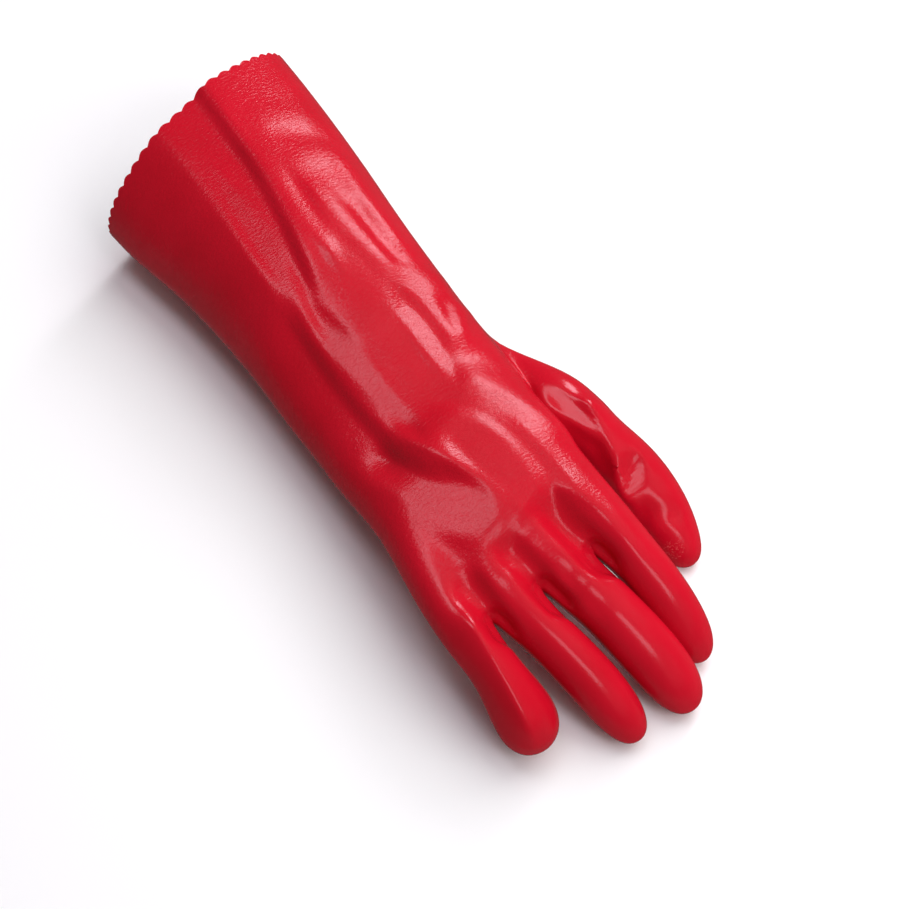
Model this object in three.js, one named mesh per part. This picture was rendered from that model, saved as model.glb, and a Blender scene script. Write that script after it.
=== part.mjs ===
// A long-cuffed PVC work glove for the right hand, lying palm down on a flat surface.
// Millimetres, +Z up. The fingers point along -Y, the cuff opens at +Y, the thumb lies on the +X side.
// The origin is at the middle of the plan outline, on the surface the glove lies on.
import * as THREE from "three";

// Main sizes
const WALL = 1.5; // coated knit, measured through the wall
const SLEEVE_LENGTH = 272; // cuff rim to finger webs
const PALM_WIDTH = 96;
const PALM_HEIGHT = 40;
const CUFF_WIDTH = 118;
const CUFF_HEIGHT = 66;
const WEB_Y = -102; // where the fingers part
const KNUCKLE_Z = 34; // height of the finger roots' middle line
const HAND_LIFT = 18; // the hand stands this much higher than the cuff, on its fingertips
const CUFF_SINK = 2; // how far the loose cuff would sag below the surface before it flattens

// Pinked edge of the cuff
const TEETH = 40;
const TOOTH_DEPTH = 1.5;
const STEPS_PER_TOOTH = 4;
const EDGE_STRIP = 5; // plain strip between the last full row and the teeth

// Slant of the rim: rise of y for each millimetre of x, and its change on the two sides
const RIM_SLANT = { base: 0.2, thumbSide: 0.18, littleSide: 0.35, from: 15, fadesAt: 0.25 };

// The sleeve from the rim (at 0) to the webs (at 1). Flare and tall go from the palm's size (0)
// to the cuff's (1); hand goes from a plain oval (0) to the row of knuckles (1).
const SECTIONS = [
  { at: 0.0, flare: 0.92, tall: 1.0, lift: 0.0, hand: 0.0, shift: 0.015, roll: 5 },
  { at: 0.05, flare: 0.86, tall: 1.0, lift: 0.0, hand: 0.0, shift: 0.017, roll: 5 },
  { at: 0.13, flare: 0.64, tall: 1.0, lift: 0.0, hand: 0.0, shift: 0.024, roll: 5 },
  { at: 0.23, flare: 0.36, tall: 1.0, lift: 0.0, hand: 0.0, shift: 0.026, roll: 4 },
  { at: 0.33, flare: 0.12, tall: 1.0, lift: 0.0, hand: 0.0, shift: 0.018, roll: 3 },
  { at: 0.43, flare: 0.02, tall: 0.9, lift: 0.0, hand: 0.0, shift: 0.014, roll: 2 },
  { at: 0.52, flare: 0.04, tall: 0.74, lift: 0.0, hand: 0.0, shift: 0.005, roll: 0 },
  { at: 0.59, flare: 0.0, tall: 0.62, lift: 0.05, hand: 0.0, shift: 0.005, roll: 0 },
  { at: 0.655, flare: 0.0, tall: 0.54, lift: 0.15, hand: 0.1, shift: 0.0, roll: 0 },
  { at: 0.72, flare: -0.1, tall: 0.46, lift: 0.3, hand: 0.2, shift: 0.0, roll: 0 },
  { at: 0.785, flare: -0.3, tall: 0.38, lift: 0.5, hand: 0.35, shift: 0.0, roll: 0 },
  { at: 0.85, flare: -0.3, tall: 0.28, lift: 0.7, hand: 0.55, shift: -0.01, roll: 0 },
  { at: 0.92, flare: -0.2, tall: 0.1, lift: 0.88, hand: 0.8, shift: -0.03, roll: 0 },
  { at: 1.0, flare: 0.0, tall: -0.15, lift: 1.0, hand: 1.0, shift: -0.045, roll: 0 },
];

// The fingers from the little finger's side to the thumb's side
const FINGERS = [
  { name: "little", x: -46, width: 22, thick: 20, length: 60.5, yaw: 2, pitch: 12.5, bend: 17, hook: 18, tip: 1.24 },
  { name: "ring", x: -23, width: 23, thick: 23, length: 81, yaw: 12, pitch: 10.5, bend: 14, hook: 14, tip: 0.93 },
  { name: "middle", x: 4, width: 26.5, thick: 24, length: 83.5, yaw: 11.5, pitch: 10, bend: 14, hook: 14, tip: 0.93 },
  { name: "index", x: 31, width: 23, thick: 23, length: 69, yaw: 5, pitch: 13, bend: 18, hook: 16, tip: 0.86 },
];
const FINGER_ROWS = [
  { at: 0.13, size: 0.96 },
  { at: 0.32, size: 0.94 },
  { at: 0.5, size: 0.96 },
  { at: 0.68, size: 0.94 },
  { at: 0.84, size: 0.84 },
  { at: 0.955, size: 0.5 },
];

// The thumb grows from the side of the palm, below its edge
const THUMB = {
  x: 49, y: -4, z: 28, width: 29, thick: 27, length: 125, yaw: 11, swing: -15, pitch: 8, bend: 4, hook: 4,
};
const THUMB_ROWS = [
  { at: 0.22, size: 1.15 },
  { at: 0.4, size: 0.84 },
  { at: 0.55, size: 1.03 },
  { at: 0.7, size: 1.02 },
  { at: 0.84, size: 0.86 },
  { at: 0.96, size: 0.5 },
];
const THUMB_PATCH = { firstRow: 7, lastRow: 9, firstColumn: 9, lastColumn: 11 };

// Dents and folds of the upper side, each from (x0, y0) to (x1, y1) seen from above. Left and
// right are the widths of its two slopes, seen along its run; bow curves it to the right, and
// sharp goes from a round crest (0) to a crease (1).
const FOLDS = [
  { on: "back", name: "cuff ridge", x0: 9, y0: 212, x1: -13, y1: 48, bow: 7, left: 12, right: 30, rise: 4.5, sharp: 0.5 },
  { on: "back", name: "cuff valley", x0: -6, y0: 212, x1: -17, y1: 48, bow: 6, left: 9, right: 9, rise: -2.5, sharp: 0 },
  { on: "back", name: "outer cuff ridge", x0: -18, y0: 196, x1: -27, y1: 40, bow: 3, left: 22, right: 10, rise: 2.2, sharp: 0.4 },
  { on: "back", name: "wrist ridge", x0: -19, y0: 56, x1: -19, y1: -34, bow: -3, left: 20, right: 16, rise: 2.8, sharp: 0.5 },
  { on: "back", name: "dent wall", x0: -21, y0: -18, x1: -5, y1: -70, bow: 2, left: 9, right: 20, rise: 2.6, sharp: 0.5 },
  { on: "back", name: "hand dent", x0: -34, y0: -20, x1: -12, y1: -72, bow: 0, left: 20, right: 10, rise: -4.2, sharp: 0.3 },
  { on: "back", name: "index bone", x0: 22, y0: -30, x1: 30, y1: -132, bow: 1, left: 12, right: 14, rise: 2.4, sharp: 0.4 },
  { on: "back", name: "index hollow", x0: 9, y0: -66, x1: 18, y1: -122, bow: 0, left: 11, right: 11, rise: -3, sharp: 0 },
  { on: "back", name: "middle hollow", x0: -13, y0: -82, x1: -9, y1: -124, bow: 0, left: 9, right: 9, rise: -2, sharp: 0 },
  { on: "back", name: "ring hollow", x0: -36, y0: -82, x1: -36, y1: -120, bow: 0, left: 10, right: 9, rise: -2, sharp: 0 },
  { on: "back", name: "wrist highlight", x0: 22, y0: 56, x1: 17, y1: -22, bow: 0, left: 14, right: 14, rise: 1.8, sharp: 0 },
  { on: "back", name: "thumb bone", x0: 17, y0: -8, x1: 42, y1: -62, bow: 2, left: 10, right: 9, rise: 1.6, sharp: 0.2 },
  { on: "thumb", name: "thumb fold", x0: 60, y0: -38, x1: 53, y1: -80, bow: 0, left: 9, right: 12, rise: 2.2, sharp: 0.6 },
  { on: "thumb", name: "thumb cross fold", x0: 50, y0: -76, x1: 74, y1: -78, bow: 0, left: 8, right: 7, rise: 1.6, sharp: 0.5 },
];
const UPPER_FROM = 0.05; // folds fade out where the surface turns this far from facing up
const UPPER_OVER = 0.35;

const COATING = new THREE.MeshStandardMaterial({ color: 0xc01424, roughness: 0.28, metalness: 0 });

const SIDES = 20; // corners of a sleeve ring
const LIMB_ANGLES = [135, 90, 45, 0, -45, -90, -135, 180];
const THUMB_ANGLES = [45, 0, -45, -90, -135, 180, 135, 90];

const radians = (degrees) => (degrees * Math.PI) / 180;
const mix = (a, b, share) => a + (b - a) * share;

function smooth(share) {
  const t = Math.min(1, Math.max(0, share));
  return t * t * (3 - 2 * t);
}

// A smooth skin lies inside the corners that steer it; this is how far in, for a ring of n corners.
const ringShrink = (n) => (4 + 2 * Math.cos((2 * Math.PI) / n)) / 6;
const LIMB_SHRINK = ringShrink(8);
const SLEEVE_SHRINK = ringShrink(SIDES);

// A control point is [x, y, z, thumb share].
function add(points, x, y, z, thumb = 0) {
  points.push([x, y, z, thumb]);
  return points.length - 1;
}

// The oval cross-section of the cuff and wrist, clockwise from above the little finger.
function ovalProfile(width, height, roll) {
  const profile = [];
  for (let i = 0; i < SIDES; i++) {
    const angle = radians(162 - (360 / SIDES) * i);
    const x = ((width / 2) * Math.cos(angle)) / SLEEVE_SHRINK;
    const z = ((height / 2) * Math.sin(angle)) / SLEEVE_SHRINK;
    const turn = radians(roll);
    profile.push([x * Math.cos(turn) - z * Math.sin(turn), x * Math.sin(turn) + z * Math.cos(turn)]);
  }
  return profile;
}

// The line between two fingers, and the outer lines of the first and the last.
function fingerEdges() {
  const first = FINGERS[0];
  const last = FINGERS[FINGERS.length - 1];
  const edges = [first.x - first.width / 2];
  for (let k = 0; k + 1 < FINGERS.length; k++) {
    edges.push((FINGERS[k].x + FINGERS[k + 1].x) / 2);
  }
  edges.push(last.x + last.width / 2);
  return edges;
}

// The cross-section through the webs: a knuckle over each finger and a valley between them.
function knuckleProfile() {
  const corner = 0.707;
  const valley = 0.62;
  const edges = fingerEdges();
  const first = FINGERS[0];
  const last = FINGERS[FINGERS.length - 1];
  const top = [[first.x - ((first.width / 2) * corner) / LIMB_SHRINK, ((first.thick / 2) * corner) / LIMB_SHRINK]];
  FINGERS.forEach((finger, k) => {
    top.push([finger.x, finger.thick / 2 / LIMB_SHRINK]);
    if (k + 1 < FINGERS.length) {
      const between = (finger.thick + FINGERS[k + 1].thick) / 4;
      top.push([edges[k + 1], (between * valley) / LIMB_SHRINK]);
    }
  });
  top.push([last.x + ((last.width / 2) * corner) / LIMB_SHRINK, ((last.thick / 2) * corner) / LIMB_SHRINK]);
  const right = [last.x + last.width / 2 / LIMB_SHRINK, 0];
  const left = [first.x - first.width / 2 / LIMB_SHRINK, 0];
  const bottom = top.map(([x, z]) => [x, -z]).reverse();
  return [...top, right, ...bottom, left];
}

// The middle line of a finger or the thumb: points with the directions along, across and up.
function middleLine(limb, swing = 0) {
  const steps = 60;
  const line = [];
  let place = new THREE.Vector3(limb.x, limb.y ?? WEB_Y, limb.z ?? KNUCKLE_Z);
  for (let i = 0; i <= steps; i++) {
    const share = i / steps;
    const bend = limb.bend * smooth((share - 0.22) / 0.3) + limb.hook * smooth((share - 0.52) / 0.3);
    const pitch = radians(limb.pitch + bend);
    const yaw = radians(limb.yaw + swing * smooth((share - 0.35) / 0.5));
    const along = new THREE.Vector3(
      Math.sin(yaw) * Math.cos(pitch),
      -Math.cos(yaw) * Math.cos(pitch),
      -Math.sin(pitch),
    );
    const across = new THREE.Vector3(Math.cos(yaw), Math.sin(yaw), 0);
    const up = new THREE.Vector3().crossVectors(along, across);
    line.push({ place: place.clone(), across, up });
    place = place.clone().addScaledVector(along, limb.length / steps);
  }
  return line;
}

function onLine(line, share) {
  const last = line.length - 1;
  const i = Math.min(Math.floor(share * last), last - 1);
  const part = share * last - i;
  const blend = (key) => line[i][key].clone().lerp(line[i + 1][key], part);
  return { place: blend("place"), across: blend("across"), up: blend("up") };
}

function limbRing(points, frame, width, thick, angles, thumb) {
  return angles.map((angle) => {
    const x = ((width / 2) * Math.cos(radians(angle))) / LIMB_SHRINK;
    const z = ((thick / 2) * Math.sin(radians(angle))) / LIMB_SHRINK;
    const p = frame.place.clone().addScaledVector(frame.across, x).addScaledVector(frame.up, z);
    return add(points, p.x, p.y, p.z, thumb);
  });
}

function joinRings(quads, from, to) {
  for (let j = 0; j < from.length; j++) {
    const next = (j + 1) % from.length;
    quads.push([from[j], to[j], to[next], from[next]]);
  }
}

function closeTip(points, quads, ring, tip, thumb) {
  const middle = add(points, tip.x, tip.y, tip.z, thumb);
  for (let j = 0; j < ring.length; j += 2) {
    quads.push([ring[j], middle, ring[(j + 2) % ring.length], ring[(j + 1) % ring.length]]);
  }
}

function rimSlant(share, x) {
  const fade = 1 - smooth(share / RIM_SLANT.fadesAt);
  const bias = RIM_SLANT.thumbSide * Math.max(0, x) - RIM_SLANT.littleSide * Math.max(0, -x - RIM_SLANT.from);
  return RIM_SLANT.base * fade * (x + bias);
}

// The rings of control points from the rim to the webs.
function sleeveRings(points) {
  const knuckles = knuckleProfile();
  return SECTIONS.map((row) => {
    const width = mix(PALM_WIDTH, CUFF_WIDTH, row.flare);
    const height = mix(PALM_HEIGHT, CUFF_HEIGHT, row.tall);
    const middle = HAND_LIFT * row.lift + height / 2 - CUFF_SINK * (1 - row.lift);
    const y = WEB_Y + SLEEVE_LENGTH * (1 - row.at);
    return ovalProfile(width, height, row.roll).map(([ovalX, ovalZ], j) => {
      const x = mix(ovalX + row.shift * PALM_WIDTH, knuckles[j][0], row.hand);
      const z = mix(ovalZ + middle, knuckles[j][1] + KNUCKLE_Z, row.hand);
      return add(points, x, y + rimSlant(row.at, x), z);
    });
  });
}

function inThumbPatch(row, column) {
  const patch = THUMB_PATCH;
  const rowInside = row >= patch.firstRow && row < patch.lastRow;
  return rowInside && column >= patch.firstColumn && column < patch.lastColumn;
}

// The coarse net of four-cornered faces that steers the whole outer skin.
function controlNet() {
  const points = [];
  const quads = [];
  const rings = sleeveRings(points);
  for (let i = 0; i + 1 < rings.length; i++) {
    for (let j = 0; j < SIDES; j++) {
      if (!inThumbPatch(i, j)) {
        const next = (j + 1) % SIDES;
        quads.push([rings[i][j], rings[i + 1][j], rings[i + 1][next], rings[i][next]]);
      }
    }
  }

  // Webs: a point low in each gap, and the valleys drawn back a little towards the palm
  const web = rings[rings.length - 1];
  const top = web.slice(0, 9);
  const right = web[9];
  const bottom = web.slice(10, 19).reverse();
  const left = web[19];
  const edges = fingerEdges();
  const gaps = [left];
  for (let k = 1; k < FINGERS.length; k++) {
    gaps.push(add(points, edges[k], WEB_Y - 1, KNUCKLE_Z - 1));
    points[top[2 * k]][1] += 4;
    points[bottom[2 * k]][1] += 2;
  }
  gaps.push(right);

  FINGERS.forEach((finger, k) => {
    const line = middleLine(finger);
    let ring = [
      top[2 * k],
      top[2 * k + 1],
      top[2 * k + 2],
      gaps[k + 1],
      bottom[2 * k + 2],
      bottom[2 * k + 1],
      bottom[2 * k],
      gaps[k],
    ];
    for (const row of FINGER_ROWS) {
      const size = row.size * (1 + (finger.tip / 0.9 - 1) * smooth((row.at - 0.3) / 0.5));
      const flat = row.at > 0.6 ? 0.93 : 0.97;
      const frame = onLine(line, row.at);
      const next = limbRing(points, frame, finger.width * size, finger.thick * size * flat, LIMB_ANGLES, 0);
      joinRings(quads, ring, next);
      ring = next;
    }
    closeTip(points, quads, ring, onLine(line, 1).place, 0);
  });

  // Thumb: its first ring is the border of the patch left open in the side of the palm
  const { firstRow: a, lastRow: c, firstColumn: u, lastColumn: w } = THUMB_PATCH;
  const b = a + 1;
  const v = u + 1;
  let ring = [
    rings[a][u],
    rings[a][v],
    rings[a][w],
    rings[b][w],
    rings[c][w],
    rings[c][v],
    rings[c][u],
    rings[b][u],
  ];
  const line = middleLine(THUMB, THUMB.swing);
  for (const row of THUMB_ROWS) {
    const frame = onLine(line, row.at);
    const next = limbRing(points, frame, THUMB.width * row.size, THUMB.thick * row.size, THUMB_ANGLES, 1);
    joinRings(quads, ring, next);
    ring = next;
  }
  closeTip(points, quads, ring, onLine(line, 1).place, 1);
  return dropUnused(points, quads, rings[0]);
}

// The middle of the thumb patch belongs to no face.
function dropUnused(points, quads, rim) {
  const used = [...new Set(quads.flat())].sort((p, q) => p - q);
  const place = new Map(used.map((old, now) => [old, now]));
  return {
    points: used.map((old) => points[old]),
    quads: quads.map((quad) => quad.map((corner) => place.get(corner))),
    rim: rim.map((corner) => place.get(corner)),
  };
}

const sum = (list) => list.reduce((total, p) => total.map((value, i) => value + p[i]), [0, 0, 0, 0]);
const scaled = (p, factor) => p.map((value) => value * factor);
const average = (list) => scaled(sum(list), 1 / list.length);

// One step of Catmull-Clark smoothing: each face is parted in four.
function refine({ points, quads, rim }) {
  const middles = quads.map((quad) => average(quad.map((corner) => points[corner])));
  const edges = new Map();
  const touching = points.map(() => ({ faces: [], edges: new Set() }));
  quads.forEach((quad, face) => {
    quad.forEach((corner, j) => {
      const other = quad[(j + 1) % 4];
      const key = corner < other ? `${corner} ${other}` : `${other} ${corner}`;
      if (!edges.has(key)) {
        edges.set(key, { ends: [corner, other], faces: [] });
      }
      edges.get(key).faces.push(face);
      touching[corner].faces.push(face);
      touching[corner].edges.add(key);
      touching[other].edges.add(key);
    });
  });

  const moved = points.map((p, i) => {
    const all = [...touching[i].edges].map((key) => edges.get(key));
    const open = all.filter((edge) => edge.faces.length === 1);
    const middle = (edge) => average(edge.ends.map((end) => points[end]));
    if (open.length > 0) {
      return average([average(open.map(middle)), p]);
    }
    const n = all.length;
    const faces = average(touching[i].faces.map((face) => middles[face]));
    const around = average(all.map(middle));
    return scaled(sum([faces, scaled(around, 2), scaled(p, n - 3)]), 1 / n);
  });
  const edgeAt = new Map();
  for (const [key, edge] of edges) {
    const ends = edge.ends.map((end) => points[end]);
    const sides = edge.faces.length === 2 ? edge.faces.map((face) => middles[face]) : [];
    edgeAt.set(key, moved.length);
    moved.push(average([...ends, ...sides]));
  }
  const between = (p, q) => edgeAt.get(p < q ? `${p} ${q}` : `${q} ${p}`);
  const finer = [];
  quads.forEach((quad, face) => {
    const middle = moved.length;
    moved.push(middles[face]);
    quad.forEach((corner, j) => {
      finer.push([corner, between(corner, quad[(j + 1) % 4]), middle, between(corner, quad[(j + 3) % 4])]);
    });
  });
  const finerRim = rim.flatMap((corner, j) => [corner, between(corner, rim[(j + 1) % rim.length])]);
  return { points: moved, quads: finer, rim: finerRim };
}

// Puts every point where endless smoothing would bring it.
function settle({ points, quads, rim }) {
  const near = points.map(() => new Set());
  const far = points.map(() => []);
  for (const quad of quads) {
    quad.forEach((corner, j) => {
      near[corner].add(quad[(j + 1) % 4]);
      near[corner].add(quad[(j + 3) % 4]);
      far[corner].push(quad[(j + 2) % 4]);
    });
  }
  const place = new Map(rim.map((corner, j) => [corner, j]));
  const settled = points.map((p, i) => {
    if (place.has(i)) {
      const j = place.get(i);
      const before = points[rim[(j + rim.length - 1) % rim.length]];
      const after = points[rim[(j + 1) % rim.length]];
      return scaled(sum([before, scaled(p, 4), after]), 1 / 6);
    }
    const n = far[i].length;
    const close = sum([...near[i]].map((other) => points[other]));
    const opposite = sum(far[i].map((other) => points[other]));
    return scaled(sum([scaled(p, n * n), scaled(close, 4), opposite]), 1 / (n * (n + 5)));
  });
  return { points: settled, quads, rim };
}

const position = (p) => new THREE.Vector3(p[0], p[1], p[2]);

function outwardNormals({ points, quads }) {
  const normals = points.map(() => new THREE.Vector3());
  for (const quad of quads) {
    const [p, q, r, s] = quad.map((corner) => position(points[corner]));
    const face = new THREE.Vector3().crossVectors(r.sub(p), s.sub(q));
    quad.forEach((corner) => normals[corner].add(face));
  }
  return normals.map((normal) => normal.normalize());
}

// How far a fold lifts the skin at (x, y).
function foldRise(fold, x, y) {
  const dx = fold.x1 - fold.x0;
  const dy = fold.y1 - fold.y0;
  const length = Math.hypot(dx, dy);
  const along = ((x - fold.x0) * dx + (y - fold.y0) * dy) / (length * length);
  if (along <= 0 || along >= 1) {
    return 0;
  }
  const bowed = fold.bow * 4 * along * (1 - along);
  const side = ((y - fold.y0) * dx - (x - fold.x0) * dy) / length - bowed;
  const share = Math.abs(side) / (side < 0 ? fold.left : fold.right);
  if (share >= 1) {
    return 0;
  }
  const dome = (1 - share * share) ** 2;
  const crease = (1 - share) ** 2;
  const ends = smooth(along / 0.22) * smooth((1 - along) / 0.22);
  return fold.rise * ends * mix(dome, crease, fold.sharp);
}

function addFolds(net) {
  const normals = outwardNormals(net);
  const points = net.points.map((p, i) => {
    const upper = smooth((normals[i].z - UPPER_FROM) / UPPER_OVER);
    let rise = 0;
    for (const fold of FOLDS) {
      const share = fold.on === "thumb" ? p[3] : 1 - p[3];
      rise += share * upper * foldRise(fold, p[0], p[1]);
    }
    return [
      p[0] + normals[i].x * rise,
      p[1] + normals[i].y * rise,
      p[2] + normals[i].z * rise,
      p[3],
    ];
  });
  return { ...net, points };
}

// The soft glove flattens where it lies: nothing of a skin is lower than the floor given.
const flattened = (p, floor) => new THREE.Vector3(p[0], p[1], Math.max(p[2], floor));

// A point on the smooth closed curve through a ring of points.
function alongRing(ring, share) {
  const n = ring.length;
  const i = Math.floor(share * n);
  const t = share * n - i;
  const at = (k) => ring[(i + k + n) % n];
  const [p, q, r, s] = [at(-1), at(0), at(1), at(2)];
  const blend = (key) => {
    const a = 2 * q[key];
    const b = r[key] - p[key];
    const c = 2 * p[key] - 5 * q[key] + 4 * r[key] - s[key];
    const d = 3 * q[key] - p[key] - 3 * r[key] + s[key];
    return 0.5 * (a + b * t + c * t * t + d * t * t * t);
  };
  return new THREE.Vector3(blend("x"), blend("y"), blend("z"));
}

// The cut edge: points beyond the rim ring with round teeth.
function pinkedEdge(ring, floor) {
  const count = TEETH * STEPS_PER_TOOTH;
  const edge = [];
  for (let i = 0; i < count; i++) {
    const wave = 0.5 - 0.5 * Math.cos((2 * Math.PI * i) / STEPS_PER_TOOTH);
    const p = alongRing(ring, i / count);
    p.y += EDGE_STRIP - TOOTH_DEPTH + TOOTH_DEPTH * wave;
    p.z = Math.max(p.z, floor);
    edge.push(p);
  }
  return edge;
}

// One closed wall: the outer skin, the inner skin one wall further in, and the cut edge between.
function gloveShell() {
  const net = addFolds(settle(refine(controlNet())));
  const normals = outwardNormals(net);
  const outer = net.points.map((p) => flattened(p, 0));
  const inner = net.points.map((p, i) => {
    const inside = position(p).addScaledVector(normals[i], -WALL);
    return flattened(inside.toArray(), WALL);
  });
  const outerRim = pinkedEdge(net.rim.map((corner) => outer[corner]), 0);
  const innerRim = pinkedEdge(net.rim.map((corner) => inner[corner]), WALL);
  const places = [...outer, ...inner, ...outerRim, ...innerRim];
  const innerAt = outer.length;
  const outerRimAt = 2 * outer.length;
  const innerRimAt = outerRimAt + outerRim.length;

  const triangles = [];
  const addQuad = (a, b, c, d) => {
    const shorter = places[a].distanceTo(places[c]) <= places[b].distanceTo(places[d]);
    if (shorter) {
      triangles.push([a, b, c], [a, c, d]);
    } else {
      triangles.push([a, b, d], [b, c, d]);
    }
  };
  for (const [a, b, c, d] of net.quads) {
    addQuad(a, b, c, d);
    addQuad(innerAt + a, innerAt + d, innerAt + c, innerAt + b);
  }

  // The strips between the last rings and the teeth, a small fan for each step of the ring
  const perStep = outerRim.length / net.rim.length;
  net.rim.forEach((corner, j) => {
    const next = net.rim[(j + 1) % net.rim.length];
    const rimAt = (i) => (j * perStep + i) % outerRim.length;
    const half = perStep / 2;
    for (let i = 0; i < perStep; i++) {
      const foot = i < half ? corner : next;
      triangles.push([foot, outerRimAt + rimAt(i + 1), outerRimAt + rimAt(i)]);
      triangles.push([innerAt + foot, innerRimAt + rimAt(i), innerRimAt + rimAt(i + 1)]);
    }
    triangles.push([corner, next, outerRimAt + rimAt(half)]);
    triangles.push([innerAt + corner, innerRimAt + rimAt(half), innerAt + next]);
  });
  for (let i = 0; i < outerRim.length; i++) {
    const next = (i + 1) % outerRim.length;
    addQuad(outerRimAt + i, outerRimAt + next, innerRimAt + next, innerRimAt + i);
  }

  const geometry = new THREE.BufferGeometry();
  const flat = places.flatMap((p) => [p.x, p.y, p.z]);
  geometry.setAttribute("position", new THREE.Float32BufferAttribute(flat, 3));
  geometry.setIndex(triangles.flat());
  geometry.computeBoundingBox();
  const middle = geometry.boundingBox.getCenter(new THREE.Vector3());
  geometry.translate(-middle.x, -middle.y, -geometry.boundingBox.min.z);
  geometry.computeVertexNormals();
  return geometry;
}

const glove = new THREE.Group();
const shell = new THREE.Mesh(gloveShell(), COATING);
shell.name = "glove_shell";
glove.add(shell);

export default glove;
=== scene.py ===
# %% [markdown]
# # A long PVC work glove
#
# This notebook dresses one long-cuffed work glove: a knitted cotton glove dipped all over in
# glossy red PVC, lying palm down, fingers towards the viewer. The CAD frame gives its place and
# its size. Everything that makes it look like a dipped glove is made here: the soft folds, the
# pinked edge of the cuff, the coating with the knit showing through, and the light.

# %% Load the frame
import math

import bpy
import numpy as np
from mathutils import Matrix, Vector


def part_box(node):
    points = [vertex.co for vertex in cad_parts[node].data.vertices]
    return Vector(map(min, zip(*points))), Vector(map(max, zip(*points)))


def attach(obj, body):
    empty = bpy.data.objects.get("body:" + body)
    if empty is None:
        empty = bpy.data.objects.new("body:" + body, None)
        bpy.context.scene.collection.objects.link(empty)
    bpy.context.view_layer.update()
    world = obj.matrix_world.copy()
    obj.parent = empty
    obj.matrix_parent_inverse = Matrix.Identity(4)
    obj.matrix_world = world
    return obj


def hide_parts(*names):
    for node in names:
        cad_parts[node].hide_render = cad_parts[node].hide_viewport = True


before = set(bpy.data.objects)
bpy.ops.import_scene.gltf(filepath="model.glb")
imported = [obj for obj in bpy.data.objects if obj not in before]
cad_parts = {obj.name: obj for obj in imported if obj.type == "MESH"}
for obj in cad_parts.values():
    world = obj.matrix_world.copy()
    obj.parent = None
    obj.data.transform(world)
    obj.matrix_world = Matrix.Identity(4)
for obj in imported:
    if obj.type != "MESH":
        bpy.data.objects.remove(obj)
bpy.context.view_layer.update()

# %% [markdown]
# ## Sizes
#
# The main sizes come first, with names, as they would on a drawing. Millimetres are easier to
# read than metres here, and the finished mesh is scaled once at the end. The rim is cut a
# little askew, so its slant has sizes too.

# %% Main sizes
MM = 0.001
WALL = 1.5
SLEEVE_LENGTH = 272.0
PALM_WIDTH, PALM_HEIGHT = 96.0, 40.0
CUFF_WIDTH, CUFF_HEIGHT = 118.0, 66.0
WEB_Y = -102.0
KNUCKLE_Z = 34.0
HAND_LIFT = 18.0
CUFF_SINK = 2.0
SIDES = 20
RIM_SLANT = {"base": 0.2, "thumb": 0.18, "little": 0.35, "from": 15.0, "fades_at": 0.25}
print("sleeve and hand:", SLEEVE_LENGTH, "mm long; palm:", PALM_WIDTH, "x", PALM_HEIGHT, "mm")

# %% [markdown]
# ## Tables of the form
#
# A glove has no straight edges to measure, so its form is kept as short tables. One gives the
# sleeve from the rim of the cuff to the webs between the fingers, one the fingers, and one the
# thumb. A sculpted form could be closer still, but a table can be read and changed.

# %% Sections, fingers and thumb
# at: share of the way from rim to webs; flare and tall: palm size (0) to cuff size (1);
# lift: height of the hand; hand: plain oval (0) to knuckles (1); shift and roll of the oval
SECTIONS = [
    (0.000, 0.92, 1.00, 0.00, 0.00, 0.015, 5),
    (0.050, 0.86, 1.00, 0.00, 0.00, 0.017, 5),
    (0.130, 0.64, 1.00, 0.00, 0.00, 0.024, 5),
    (0.230, 0.36, 1.00, 0.00, 0.00, 0.026, 4),
    (0.330, 0.12, 1.00, 0.00, 0.00, 0.018, 3),
    (0.430, 0.02, 0.90, 0.00, 0.00, 0.014, 2),
    (0.520, 0.04, 0.74, 0.00, 0.00, 0.005, 0),
    (0.590, 0.00, 0.62, 0.05, 0.00, 0.005, 0),
    (0.655, 0.00, 0.54, 0.15, 0.10, 0.000, 0),
    (0.720, -0.10, 0.46, 0.30, 0.20, 0.000, 0),
    (0.785, -0.30, 0.38, 0.50, 0.35, 0.000, 0),
    (0.850, -0.30, 0.28, 0.70, 0.55, -0.010, 0),
    (0.920, -0.20, 0.10, 0.88, 0.80, -0.030, 0),
    (1.000, 0.00, -0.15, 1.00, 1.00, -0.045, 0),
]

# x of the root, width, thickness, length, then angles in degrees: yaw, pitch, bend and hook;
# last, how wide the tip is, as a share of the finger
FINGERS = {
    "little": (-46.0, 22.0, 20.0, 60.5, 2.0, 12.5, 17.0, 18.0, 1.24),
    "ring": (-23.0, 23.0, 23.0, 81.0, 12.0, 10.5, 14.0, 14.0, 0.93),
    "middle": (4.0, 26.5, 24.0, 83.5, 11.5, 10.0, 14.0, 14.0, 0.93),
    "index": (31.0, 23.0, 23.0, 69.0, 5.0, 13.0, 18.0, 16.0, 0.86),
}
FINGER_ROWS = [(0.13, 0.96), (0.32, 0.94), (0.50, 0.96), (0.68, 0.94), (0.84, 0.84), (0.955, 0.50)]
THUMB_ROOT = (49.0, -4.0, 28.0)
THUMB_SIZE = (29.0, 27.0, 125.0)
THUMB_TURN = {"yaw": 11.0, "pitch": 8.0, "bend": 4.0, "hook": 4.0, "swing": -15.0}
THUMB_ROWS = [(0.22, 1.15), (0.40, 0.84), (0.55, 1.03), (0.70, 1.02), (0.84, 0.86), (0.96, 0.50)]
print("fingers:", ", ".join(FINGERS), "and a thumb of", THUMB_SIZE[2], "mm")

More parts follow.
